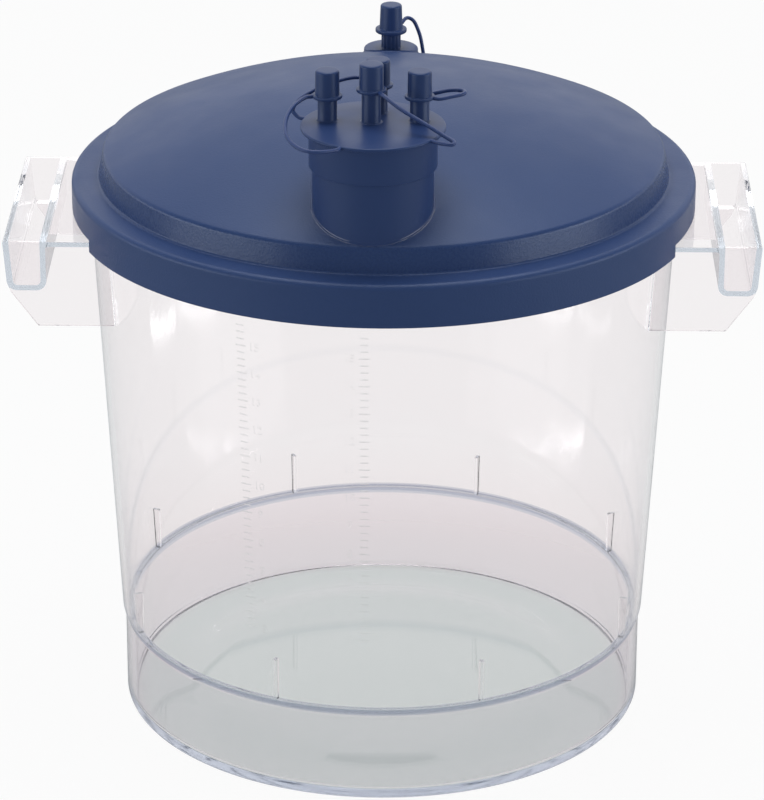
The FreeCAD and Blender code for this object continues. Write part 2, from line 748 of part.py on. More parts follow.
def make_straps():
    straps = []
    radius = sheet.get("strap_radius")
    gap = sheet.get("strap_gap")
    stub = sheet.get("strap_stub")
    for name, (x, y, lift) in PORTS.items():
        ring_bearing, disc_bearing = STRAP_BEARINGS[name]
        axis = Vector(x.value, y.value, lift.value + ring_thickness.value / 2)
        off_ring = [axis + on_circle(ring_radius.value + gap + out, ring_bearing, 0.0)
                    for out in (0.0, stub)]
        to_disc = [on_circle(disc_radius.value + gap + out, disc_bearing, -disc_thickness.value / 2)
                   for out in (stub, 0.0)]
        points = off_ring + [Vector(*point) for point in STRAP_ROUTES[name]] + to_disc
        strap = doc.addObject("Part::Feature", f"tether_{name}")
        strap.Label = f"tether_{name}"
        strap.Shape = strap_solid(points, radius)
        place(strap, spout_x, spout_y, disc_top)
        straps.append(strap)
    ring_height = vacuum_cap_lift.value + sheet.get("vacuum_ring_thickness") / 2
    off_ring = [on_circle(vacuum_ring_radius.value + gap + out, VACUUM_BEARING, ring_height)
                for out in (0.0, stub)]
    foot_x = vacuum_x.value + VACUUM_FOOT[0]
    foot_y = vacuum_y.value + VACUUM_FOOT[1]
    dome_there = dome_centre.value + math.sqrt(dome_curve.value ** 2 - foot_x ** 2 - foot_y ** 2)
    end = Vector(VACUUM_FOOT[0], VACUUM_FOOT[1], dome_there - boss_top.value + radius + gap)
    strap = doc.addObject("Part::Feature", "vacuum_tether")
    strap.Label = "vacuum_tether"
    strap.Shape = strap_solid(off_ring + [Vector(*point) for point in VACUUM_ROUTE] + [end], radius)
    place(strap, vacuum_x, vacuum_y, boss_top)
    straps.append(strap)
    return straps


nodes = [make_jar(), make_lid(), make_spout_cap()]
nodes += make_port_caps()
nodes += [make_vacuum_cap(), make_float_cage(), make_float(), make_float_seal()]
nodes += make_straps()
doc.recompute()

# Checks, then one STEP file for each sub-part
for thing in doc.Objects:
    if "Invalid" in thing.State or "Error" in thing.State:
        raise RuntimeError(f"{thing.Name} is {thing.State}")
os.makedirs("parts", exist_ok=True)
for node in nodes:
    shape = node.Shape
    if shape.isNull() or not shape.isValid() or not shape.Solids:
        raise RuntimeError(f"{node.Label} has no valid solid")
    shape.exportStep(f"parts/{node.Label}.step")
    box = shape.BoundBox
    print(f"{node.Label:16s} volume {shape.Volume:11.2f} low {box.XMin:.2f} {box.YMin:.2f} {box.ZMin:.2f} "
          f"high {box.XMax:.2f} {box.YMax:.2f} {box.ZMax:.2f}")
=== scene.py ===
import math

import bmesh
import bpy
from mathutils import Matrix, Vector


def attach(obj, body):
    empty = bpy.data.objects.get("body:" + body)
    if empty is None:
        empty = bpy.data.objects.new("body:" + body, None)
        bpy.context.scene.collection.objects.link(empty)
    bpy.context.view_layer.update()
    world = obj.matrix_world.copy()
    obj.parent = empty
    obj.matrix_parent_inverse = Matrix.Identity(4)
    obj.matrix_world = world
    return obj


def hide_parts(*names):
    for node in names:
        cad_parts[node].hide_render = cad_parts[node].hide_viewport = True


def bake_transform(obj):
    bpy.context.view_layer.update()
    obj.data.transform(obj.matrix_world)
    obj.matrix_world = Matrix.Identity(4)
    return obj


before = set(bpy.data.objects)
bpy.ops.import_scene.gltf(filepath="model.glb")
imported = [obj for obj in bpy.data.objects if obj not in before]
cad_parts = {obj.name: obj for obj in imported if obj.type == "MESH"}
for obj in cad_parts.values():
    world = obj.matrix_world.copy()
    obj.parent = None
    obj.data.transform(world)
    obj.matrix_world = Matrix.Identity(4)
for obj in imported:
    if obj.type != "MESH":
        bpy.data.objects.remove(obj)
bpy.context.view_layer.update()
scene = bpy.context.scene

MM = 0.001
TURNS = 192

# Sizes in millimetres, as in the part
JAR_HEIGHT = 288.5
FOOT_RADIUS = 137.4
FOOT_HEIGHT = 47.0
LEDGE_RADIUS = 133.2
LEDGE_HEIGHT = 51.3
WALL_LOW = 138.9
WALL_TOP = 151.4
WALL = 2.6
FLOOR = 3.4
FLOOR_ROUND = 3.0
RECESS_RADIUS = 92.0
RECESS_SLOPE = 20.0
RECESS_RISE = 3.5
RECESS_ROUND = 90.0
LIP_RADIUS = 155.6
LIP_DEPTH = 5.0
RIB_COUNT = 8
RIB_HEIGHT = 23.0
RIB_THICKNESS = 1.8
HANDLE_TOP = 274.3
HANDLE_END = 190.6
HANDLE_HALF = 62.5
HANDLE_LEAN = 2.0
PLATE = 2.9
TROUGH_WALL = 2.8
TROUGH_INNER = 172.0
TROUGH_LOW = 247.8
TROUGH_ROUND = 5.0
END_PLATE = 2.0
GUSSET_LOW = 229.1
GUSSET_SETBACK = 17.0
RIM_TOP = 291.4
LID_RADIUS = 160.0
LID_SHELL = 2.6
SKIRT_LOW = 269.3
SKIRT_INNER = 157.6
NOTCH_TOP = 276.0
NOTCH_HALF = 63.3
BAND_RADIUS = 146.11
CREASE_RADIUS = 143.81
CREASE_HEIGHT = 304.5
DOME_CURVE = 336.25
DOME_CENTRE = 0.55
PLUG_RADIUS = 147.3
PLUG_LOW = 266.0
PLUG_WALL = 2.4
SPOUT = (-3.794, -112.60)
SPOUT_RADIUS = 29.6
SPOUT_WALL = 2.4
SPOUT_TOP = 354.3
CAP_SKIRT_RADIUS = 31.2
CAP_SKIRT_LOW = 335.8
DISC_TOP = 356.1
DISC = 1.8
DISC_RADIUS = 35.2
STEM_RADIUS = 4.7
STEM_BORE = 3.2
CAP_BORE = 4.78
CAP_RADIUS = 5.93
CAP_TAPER = 0.1
RING_RADIUS = 7.33
RING = 1.6
CAP_HEIGHT = 14.0
CAP_ROOF = 1.5
VACUUM = (2.202, 112.64)
BOSS_RADIUS = 14.5
BOSS_TOP = 319.87
CHAMBER_RADIUS = 12.2
CHAMBER_TOP = 316.87
SOCKET_LOW = 299.87
VACUUM_LIFT = 9.0
VACUUM_CAP_HEIGHT = 15.2
VACUUM_CAP_RADIUS = 6.18
VACUUM_CAP_TAPER = 0.5
VACUUM_RING_RADIUS = 8.38
VACUUM_RING = 2.0
STRAP_RADIUS = 1.0
# place from the spout's axis, and height of the cap above the disc
PORTS = {
    "left": (-22.3, 7.0, 11.3),
    "centre": (-1.0, 4.5, 15.5),
    "right": (22.3, 7.0, 11.3),
    "rear": (2.0, 19.2, 12.9),
}

# Sizes that only this script has: the handles' start inside the jar and their gap to its wall,
# the thin ribs on the vacuum stem, and the marks of the scale
HANDLE_ROOT = 120.0
HANDLE_GAP = 0.05
STEM_RIB = 0.62
STEM_RIB_PLACE = 4.55
TICK_LENGTH = 4.0
LITRE_TICK_LENGTH = 5.2
TICK_DEPTH = 0.45
NUMERAL_HEIGHT = 4.2
NUMERAL_PLACE = 7.4
FIRST_LITRE = 5
LITRE = 1e6
# bearing of each column from the front, and the side of its ticks on which the numbers stand
SCALE_COLUMNS = ((-2.8, -1), (-27.0, 1))


# Outlines
def rounded(corners, steps=6):
    """Closed outline in which each corner (x, y, radius) becomes an arc; (x, y) stays sharp."""
    outline = []
    for number, corner in enumerate(corners):
        point = Vector(corner[:2])
        if len(corner) == 2:
            outline.append(point)
            continue
        back = (Vector(corners[number - 1][:2]) - point).normalized()
        ahead = (Vector(corners[(number + 1) % len(corners)][:2]) - point).normalized()
        half = back.angle(ahead) / 2
        centre = point + (back + ahead).normalized() * corner[2] / math.sin(half)
        start = point + back * corner[2] / math.tan(half) - centre
        end = point + ahead * corner[2] / math.tan(half) - centre
        sweep = start.angle_signed(end)
        for step in range(steps + 1):
            turn = Matrix.Rotation(-sweep * step / steps, 2)
            outline.append(centre + turn @ start)
    return outline


def subdivided(start, end, count):
    """Points strictly between two outline corners."""
    return [tuple(Vector(start).lerp(Vector(end), number / (count + 1))) for number in range(1, count + 1)]


def cap_arc(curve, radius_from, radius_to, count):
    """Points on an arc about the dome's centre, from one radius to another, both left out."""
    points = []
    for number in range(1, count + 1):
        r = radius_from + (radius_to - radius_from) * number / (count + 1)
        points.append((r, DOME_CENTRE + math.sqrt(curve * curve - r * r)))
    return points


def mirrored(outline):
    """Outline on the other side of the Z axis, wound the same way."""
    return [Vector((-point[0], point[1])) for point in outline][::-1]


# Meshes
WELD = 1e-6


def smooth(mesh, sharp_angle):
    """Smooth faces, with creases where they meet at more than an angle."""
    for face in mesh.polygons:
        face.use_smooth = True
    mesh.set_sharp_from_angle(angle=math.radians(sharp_angle))


def evaluated_mesh(thing):
    """Mesh of an object as its modifiers or its curve's settings make it."""
    bpy.context.view_layer.update()
    return bpy.data.meshes.new_from_object(thing.evaluated_get(bpy.context.evaluated_depsgraph_get()))


def new_piece(name, bm, sharp_angle=35.0):
    """Object made from a bmesh, which is then freed."""
    bmesh.ops.recalc_face_normals(bm, faces=bm.faces)
    mesh = bpy.data.meshes.new(name)
    bm.to_mesh(mesh)
    bm.free()
    smooth(mesh, sharp_angle)
    piece = bpy.data.objects.new(name, mesh)
    scene.collection.objects.link(piece)
    return piece


def add_lathe(bm, outline, axis=(0.0, 0.0), turns=TURNS):
    """Closed outline of (radius, height) turned about a vertical axis."""
    rings = []
    for r, z in outline:
        if r < 1e-6:
            rings.append([bm.verts.new((axis[0] * MM, axis[1] * MM, z * MM))])
            continue
        ring = []
        for number in range(turns):
            angle = 2 * math.pi * number / turns
            ring.append(bm.verts.new(((axis[0] + r * math.cos(angle)) * MM,
                                      (axis[1] + r * math.sin(angle)) * MM, z * MM)))
        rings.append(ring)
    for ring, following in zip(rings, rings[1:] + rings[:1]):
        if len(ring) == 1 and len(following) == 1:
            continue
        for number in range(turns):
            after = (number + 1) % turns
            if len(ring) == 1:
                bm.faces.new((ring[0], following[number], following[after]))
            elif len(following) == 1:
                bm.faces.new((ring[number], following[0], ring[after]))
            else:
                bm.faces.new((ring[number], following[number], following[after], ring[after]))


def add_prism(bm, outline, low, high, bevel=0.0, turn=0.0):
    """Outline of (x, z) run along Y from low to high, its end edges rounded, then turned about Z."""
    part = bmesh.new()
    first = [part.verts.new((x * MM, low * MM, z * MM)) for x, z in outline]
    last = [part.verts.new((x * MM, high * MM, z * MM)) for x, z in outline]
    ends = [part.faces.new(first), part.faces.new(last[::-1])]
    for number in range(len(outline)):
        after = (number + 1) % len(outline)
        part.faces.new((first[after], first[number], last[number], last[after]))
    if bevel:
        edges = list(ends[0].edges) + list(ends[1].edges)
        bmesh.ops.bevel(part, geom=edges, offset=bevel * MM, segments=3, profile=0.5, affect="EDGES",
                        clamp_overlap=True)
    bmesh.ops.rotate(part, verts=part.verts, matrix=Matrix.Rotation(turn, 3, "Z"))
    holder = bpy.data.meshes.new("part")
    part.to_mesh(holder)
    part.free()
    bm.from_mesh(holder)
    bpy.data.meshes.remove(holder)


def combined(piece, tool, operation):
    """Applies a boolean with a tool object, which is then removed."""
    modifier = piece.modifiers.new("join", "BOOLEAN")
    modifier.operation = operation
    modifier.solver = "EXACT"
    modifier.object = tool
    mesh = evaluated_mesh(piece)
    piece.modifiers.clear()
    piece.data = mesh
    bpy.data.objects.remove(tool)
    return piece


def finish_mesh(piece, sharp_angle=35.0):
    """Smooth faces, sharp creases, and normals weighted by face area."""
    mesh = piece.data
    bm = bmesh.new()
    bm.from_mesh(mesh)
    bmesh.ops.remove_doubles(bm, verts=bm.verts, dist=WELD)
    bmesh.ops.recalc_face_normals(bm, faces=bm.faces)
    bm.to_mesh(mesh)
    bm.free()
    smooth(mesh, sharp_angle)
    weighted = piece.modifiers.new("even shading", "WEIGHTED_NORMAL")
    weighted.keep_sharp = True
    weighted.weight = 60
    return piece


# Materials
def new_material(name):
    """Material with its nodes, links and Principled shader."""
    material = bpy.data.materials.new(name)
    material.use_nodes = True
    nodes = material.node_tree.nodes
    shader = nodes["Principled BSDF"]
    return material, nodes, material.node_tree.links, shader


def grain(nodes, links, scale, detail=2.0):
    """Noise in the object's own coordinates."""
    place = nodes.new("ShaderNodeTexCoord")
    noise = nodes.new("ShaderNodeTexNoise")
    noise.inputs["Scale"].default_value = scale
    noise.inputs["Detail"].default_value = detail
    links.new(place.outputs["Object"], noise.inputs["Vector"])
    return noise.outputs["Fac"]


# most of a noise value lies between these
NOISE_LOW, NOISE_HIGH = 0.3, 0.7


def spread(nodes, links, value, low, high):
    """Maps a noise value onto a range."""
    scaled = nodes.new("ShaderNodeMapRange")
    scaled.inputs["From Min"].default_value = NOISE_LOW
    scaled.inputs["From Max"].default_value = NOISE_HIGH
    scaled.inputs["To Min"].default_value = low
    scaled.inputs["To Max"].default_value = high
    links.new(value, scaled.inputs["Value"])
    return scaled.outputs["Result"]


def tinted(nodes, links, value, low, high):
    """Colour between two by a value."""
    ramp = nodes.new("ShaderNodeMix")
    ramp.data_type = "RGBA"
    ramp.inputs["A"].default_value = (*low, 1.0)
    ramp.inputs["B"].default_value = (*high, 1.0)
    links.new(value, ramp.inputs["Factor"])
    return ramp.outputs["Result"]


def ranged(nodes, links, value, low, high, to_low, to_high):
    """Smooth step of a value between two levels."""
    step = nodes.new("ShaderNodeMapRange")
    step.interpolation_type = "SMOOTHSTEP"
    step.inputs["From Min"].default_value = low
    step.inputs["From Max"].default_value = high
    step.inputs["To Min"].default_value = to_low
    step.inputs["To Max"].default_value = to_high
    links.new(value, step.inputs["Value"])
    return step.outputs["Result"]


def weighed(nodes, links, operation, first, second, clamp=True):
    """Math node whose second input is a socket or a number."""
    node = nodes.new("ShaderNodeMath")
    node.operation = operation
    node.use_clamp = clamp
    links.new(first, node.inputs[0])
    if isinstance(second, float):
        node.inputs[1].default_value = second
    else:
        links.new(second, node.inputs[1])
    return node.outputs[0]


def height_above(nodes, links):
    """Height in the object's own coordinates."""
    place = nodes.new("ShaderNodeTexCoord")
    split = nodes.new("ShaderNodeSeparateXYZ")
    links.new(place.outputs["Object"], split.inputs[0])
    return split.outputs["Z"]


def add_bump(nodes, links, shader, value, strength, distance):
    """Bumps a shader by a value."""
    bump = nodes.new("ShaderNodeBump")
    bump.inputs["Strength"].default_value = strength
    bump.inputs["Distance"].default_value = distance
    links.new(value, bump.inputs["Height"])
    links.new(bump.outputs["Normal"], shader.inputs["Normal"])


def moulded(name, dark, light, rough, grain_strength, grain_scale=1400.0, gloss=0.5, sheen=(1.0, 1.0, 1.0)):
    """Injection-moulded opaque plastic: slight mottling, uneven gloss and a fine spark-eroded grain."""
    material, nodes, links, shader = new_material(name)
    mottling = spread(nodes, links, grain(nodes, links, 14.0, 3.0), 0.0, 1.0)
    links.new(tinted(nodes, links, mottling, dark, light), shader.inputs["Base Color"])
    uneven = spread(nodes, links, grain(nodes, links, 40.0, 4.0), *rough)
    links.new(uneven, shader.inputs["Roughness"])
    shader.inputs["IOR"].default_value = 1.5
    shader.inputs["Specular IOR Level"].default_value = gloss
    shader.inputs["Specular Tint"].default_value = (*sheen, 1.0)
    add_bump(nodes, links, shader, grain(nodes, links, grain_scale, 2.0), grain_strength, 0.0004)
    return material


def clear_plastic(name, tint, rough, index, depth_colour, density):
    """Clear moulded plastic with faint flow lines and a tint that deepens with thickness."""
    material, nodes, links, shader = new_material(name)
    shader.inputs["Base Color"].default_value = (*tint, 1.0)
    shader.inputs["Transmission Weight"].default_value = 1.0
    shader.inputs["IOR"].default_value = index
    uneven = spread(nodes, links, grain(nodes, links, 22.0, 3.0), *rough)
    links.new(uneven, shader.inputs["Roughness"])
    add_bump(nodes, links, shader, grain(nodes, links, 26.0, 1.0), 0.04, 0.0006)
    volume = nodes.new("ShaderNodeVolumeAbsorption")
    volume.inputs["Color"].default_value = (*depth_colour, 1.0)
    volume.inputs["Density"].default_value = density
    links.new(volume.outputs["Volume"], nodes["Material Output"].inputs["Volume"])
    return material


def polish_band(material, low, high, rough):
    """Smoother finish between two heights, where the mould was polished."""
    nodes, links = material.node_tree.nodes, material.node_tree.links
    shader = nodes["Principled BSDF"]
    level = height_above(nodes, links)
    above = ranged(nodes, links, level, (low - 0.5) * MM, (low + 0.5) * MM, 0.0, 1.0)
    below = ranged(nodes, links, level, (high - 1.0) * MM, (high + 1.0) * MM, 1.0, 0.0)
    blend = nodes.new("ShaderNodeMix")
    links.new(weighed(nodes, links, "MULTIPLY", above, below), blend.inputs["Factor"])
    links.new(shader.inputs["Roughness"].links[0].from_socket, blend.inputs["A"])
    links.new(spread(nodes, links, grain(nodes, links, 700.0, 3.0), *rough), blend.inputs["B"])
    links.new(blend.outputs["Result"], shader.inputs["Roughness"])


def tint_by_height(material, wall, ledge, foot):
    """Jar's base colour, painted shade: greyer in the foot, darker and bluer where the wall steps in and is
    thick.
    """
    nodes, links = material.node_tree.nodes, material.node_tree.links
    level = height_above(nodes, links)
    above_foot = ranged(nodes, links, level, (FOOT_HEIGHT + 0.6) * MM, (FOOT_HEIGHT + 1.6) * MM, 0.0, 1.0)
    above_ledge = ranged(nodes, links, level, (LEDGE_HEIGHT + 0.3) * MM, (LEDGE_HEIGHT + 0.8) * MM,
                         0.0, 1.0)
    upper = nodes.new("ShaderNodeMix")
    upper.data_type = "RGBA"
    upper.inputs["B"].default_value = (*wall, 1.0)
    links.new(tinted(nodes, links, above_foot, foot, ledge), upper.inputs["A"])
    links.new(above_ledge, upper.inputs["Factor"])
    links.new(upper.outputs["Result"], nodes["Principled BSDF"].inputs["Base Color"])


WALL_TINT = (0.956, 0.938, 0.942)
jar_clear = clear_plastic("jar_clear", WALL_TINT, (0.0, 0.03), 1.45, (0.74, 0.80, 0.87), 6.5)
# painted shade: darker, bluer base colour at the ledge and greyer in the foot
tint_by_height(jar_clear, WALL_TINT, ledge=(0.47, 0.50, 0.59), foot=(0.885, 0.852, 0.872))
handle_clear = clear_plastic("handle_clear", (0.932, 0.905, 0.912), (0.0, 0.02), 1.35,
                             (0.62, 0.71, 0.78), 9.0)
mark_frosted = clear_plastic("mark_frosted", (1.0, 1.0, 1.0), (0.16, 0.28), 1.22, (0.9, 0.93, 0.97), 2.0)
lid_blue = moulded("lid_blue", (0.026, 0.055, 0.160), (0.030, 0.061, 0.174), (0.38, 0.46), 0.26, 1000.0,
                   gloss=0.36, sheen=(0.76, 0.86, 1.0))
polish_band(lid_blue, RIM_TOP + 0.6, CREASE_HEIGHT, (0.22, 0.34))
spout_blue = moulded("spout_blue", (0.023, 0.048, 0.148), (0.027, 0.054, 0.160), (0.32, 0.40), 0.03,
                     gloss=0.30, sheen=(0.80, 0.90, 1.0))
root_blue = moulded("root_blue", (0.024, 0.050, 0.152), (0.028, 0.056, 0.164), (0.07, 0.12), 0.02)
cap_blue = moulded("cap_blue", (0.022, 0.046, 0.142), (0.026, 0.052, 0.154), (0.28, 0.38), 0.06,
                   gloss=0.30, sheen=(0.80, 0.90, 1.0))
strap_blue = moulded("strap_blue", (0.026, 0.054, 0.170), (0.031, 0.061, 0.186), (0.28, 0.38), 0.05,
                     gloss=0.35)
cage_white = moulded("cage_white", (0.66, 0.68, 0.70), (0.72, 0.74, 0.76), (0.40, 0.50), 0.08)
float_white = moulded("float_white", (0.80, 0.80, 0.78), (0.84, 0.84, 0.83), (0.45, 0.55), 0.08)
seal_rubber = moulded("seal_rubber", (0.045, 0.045, 0.047), (0.060, 0.060, 0.062), (0.60, 0.75), 0.2, 900.0)


def dress(piece, material, slot, body, *nodes):
    """Gives a piece its material, the body that it rides on and the CAD nodes that it stands for."""
    piece.data.materials.clear()
    piece.data.materials.append(material)
    if body:
        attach(piece, body)
    if nodes:
        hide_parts(*nodes)
    return piece


# Jar
def wall_radius(z):
    """Radius of the jar's tapered outside at a height above the ledge."""
    return WALL_LOW + (WALL_TOP - WALL_LOW) * (z - LEDGE_HEIGHT) / (JAR_HEIGHT - LEDGE_HEIGHT)


def wall_points(inset):
    """Points up the tapered wall, so that its mesh is evenly divided."""
    return [(wall_radius(z) - inset, z) for z in range(70, 280, 15)]


def make_jar():
    """Turned wall, foot and floor, with the stacking ribs joined to the ledge."""
    lip_low = JAR_HEIGHT - LIP_DEPTH
    slope_end = RECESS_RADIUS + RECESS_SLOPE
    outside = [(0.0, RECESS_RISE), (35.0, RECESS_RISE), (70.0, RECESS_RISE),
               (RECESS_RADIUS, RECESS_RISE, RECESS_ROUND), (slope_end, 0.0, RECESS_ROUND),
               (FOOT_RADIUS, 0.0, 2.0), (FOOT_RADIUS, FOOT_HEIGHT, 1.5), (WALL_LOW, LEDGE_HEIGHT, 1.5)]
    outside += wall_points(0.0)
    outside += [(wall_radius(lip_low), lip_low, 0.7), (LIP_RADIUS, lip_low, 0.8),
                (LIP_RADIUS, JAR_HEIGHT, 0.8)]
    floor_top = RECESS_RISE + FLOOR
    inside = [(0.0, floor_top), (35.0, floor_top), (70.0, floor_top),
              (RECESS_RADIUS, floor_top, RECESS_ROUND), (slope_end, FLOOR, RECESS_ROUND),
              (LEDGE_RADIUS, FLOOR, FLOOR_ROUND), (LEDGE_RADIUS, LEDGE_HEIGHT, 0.8),
              (WALL_LOW - WALL, LEDGE_HEIGHT, 0.8)]
    inside += wall_points(WALL)
    inside += [(WALL_TOP - WALL, JAR_HEIGHT, 0.6)]
    bm = bmesh.new()
    add_lathe(bm, rounded(outside + inside[::-1]))
    jar = new_piece("jar_body", bm)

    rib_low = LEDGE_HEIGHT - 1.0
    rib_top = LEDGE_HEIGHT + RIB_HEIGHT
    near = LEDGE_RADIUS + 0.4
    far = wall_radius(LEDGE_HEIGHT) - WALL + 0.6
    rib = rounded([(near, rib_low), (far, rib_low), (far + 1.0, rib_top, 0.2), (near, rib_top, 0.8)], 3)
    bm = bmesh.new()
    for number in range(RIB_COUNT):
        bearing = 2 * math.pi * (number + 0.5) / RIB_COUNT
        add_prism(bm, rib, -RIB_THICKNESS / 2, RIB_THICKNESS / 2, 0.3, bearing)
    combined(jar, new_piece("ribs", bm), "UNION")
    dress(finish_mesh(jar, 30.0), jar_clear, "jar_clear", "jar", "jar")


def make_handles():
    """Blocks hollowed into a top plate and a trough between end plates, cut to the jar's wall."""
    lean = HANDLE_END - HANDLE_LEAN
    plate_low = HANDLE_TOP - PLATE
    outer_wall = TROUGH_INNER - TROUGH_WALL
    hollow_low = TROUGH_LOW + TROUGH_WALL
    block = [(HANDLE_ROOT, GUSSET_LOW), (HANDLE_END - GUSSET_SETBACK, GUSSET_LOW, 2.0),
             (lean - 1.4, TROUGH_LOW, 3.0), (lean + 0.4, TROUGH_LOW + 5.0, 3.0),
             (HANDLE_END, HANDLE_TOP, 0.6), (HANDLE_ROOT, HANDLE_TOP)]
    trough = [(TROUGH_INNER, hollow_low, 2.4), (lean - TROUGH_WALL, hollow_low, 2.4),
              (HANDLE_END - TROUGH_WALL, HANDLE_TOP), (HANDLE_END - TROUGH_WALL, HANDLE_TOP + 2.0),
              (TROUGH_INNER, HANDLE_TOP + 2.0)]
    beyond = HANDLE_END + 5.0
    below = GUSSET_LOW - 5.0
    before = HANDLE_ROOT - 10.0
    fingers = [(before, plate_low), (outer_wall, plate_low, 1.2), (outer_wall, TROUGH_LOW, TROUGH_ROUND),
               (lean + 0.05, TROUGH_LOW, TROUGH_ROUND), (lean + 0.7, TROUGH_LOW + 8.0),
               (beyond, TROUGH_LOW + 8.0), (beyond, below), (before, below)]
    between = HANDLE_HALF - END_PLATE
    bm = bmesh.new()
    hollows = bmesh.new()
    for outline, target, half, bevel in ((block, bm, HANDLE_HALF, 0.4), (trough, hollows, between, 0.0),
                                         (fingers, hollows, between, 0.0)):
        points = rounded(outline)
        for side in (points, mirrored(points)):
            add_prism(target, side, -half, half, bevel)
    handles = new_piece("jar_handles", bm)
    combined(handles, new_piece("handle_hollows", hollows), "DIFFERENCE")
    low, high = 200.0, 283.0
    bm = bmesh.new()
    add_lathe(bm, [(0.0, low), (wall_radius(low) + HANDLE_GAP, low), (wall_radius(high) + HANDLE_GAP, high),
                   (0.0, high)])
    combined(handles, new_piece("jar_space", bm), "DIFFERENCE")
    dress(finish_mesh(handles, 30.0), handle_clear, "jar_clear", "jar")


def litre_heights():
    """Height above the standing face of the level of each whole litre, from the jar's own inside."""
    heights = {}
    step = 0.05
    z = FLOOR
    # the raised middle of the floor takes its share first
    volume = -(RECESS_RADIUS + RECESS_SLOPE / 2) ** 2 * math.pi * RECESS_RISE
    while z < JAR_HEIGHT - 20.0:
        radius = LEDGE_RADIUS if z < LEDGE_HEIGHT else wall_radius(z) - WALL
        volume += math.pi * radius * radius * step
        z += step
        if volume >= (len(heights) + 1) * LITRE:
            heights[len(heights) + 1] = z
    return heights


def on_wall(bearing, along, z, out):
    """Point on the jar's outside, along the wall from a bearing at the front, standing out a little."""
    radius = wall_radius(z)
    angle = math.radians(bearing) + along / radius
    return ((radius + out) * math.sin(angle) * MM, -(radius + out) * math.cos(angle) * MM, z * MM)


def add_tick(bm, bearing, z, length):
    """Raised graduation line that follows the wall."""
    corners = []
    for out in (-0.05, 0.22):
        for side, level in ((-0.5, -0.5), (0.5, -0.5), (0.5, 0.5), (-0.5, 0.5)):
            corners.append(bm.verts.new(on_wall(bearing, side * length, z + level * TICK_DEPTH, out)))
    low, high = corners[:4], corners[4:]
    bm.faces.new(low[::-1])
    bm.faces.new(high)
    for number in range(4):
        after = (number + 1) % 4
        bm.faces.new((low[number], low[after], high[after], high[number]))


def add_numeral(bm, text, bearing, along, z):
    """Raised number, bent round the wall."""
    curve = bpy.data.curves.new("numeral", "FONT")
    curve.body = text
    curve.size = NUMERAL_HEIGHT * 1.4
    curve.align_x = "CENTER"
    curve.align_y = "CENTER"
    curve.extrude = 0.11
    curve.resolution_u = 3
    holder = bpy.data.objects.new("numeral", curve)
    scene.collection.objects.link(holder)
    mesh = evaluated_mesh(holder)
    for vertex in mesh.vertices:
        x, y, out = vertex.co
        vertex.co = on_wall(bearing, along + x, z + y, out + 0.08)
    bm.from_mesh(mesh)
    bpy.data.objects.remove(holder)
    bpy.data.meshes.remove(mesh)


def make_scales():
    """Two columns of quarter-litre ticks with a plain number at each whole litre."""
    bm = bmesh.new()
    heights = litre_heights()
    for bearing, side in SCALE_COLUMNS:
        for litre in range(FIRST_LITRE, max(heights)):
            for quarter in range(4):
                z = heights[litre] + (heights[litre + 1] - heights[litre]) * quarter / 4
                add_tick(bm, bearing, z, TICK_LENGTH if quarter else LITRE_TICK_LENGTH)
            add_numeral(bm, str(litre), bearing, side * NUMERAL_PLACE, heights[litre])
    bmesh.ops.remove_doubles(bm, verts=bm.verts, dist=WELD)
    dress(new_piece("jar_scale", bm), mark_frosted, "jar_clear", "jar")


make_jar()
make_handles()
make_scales()


# Lid: shell with its spout, boss and plug wall
def dome_height(x, y):
    """Height of the lid's domed top."""
    return DOME_CENTRE + math.sqrt(DOME_CURVE ** 2 - x * x - y * y)


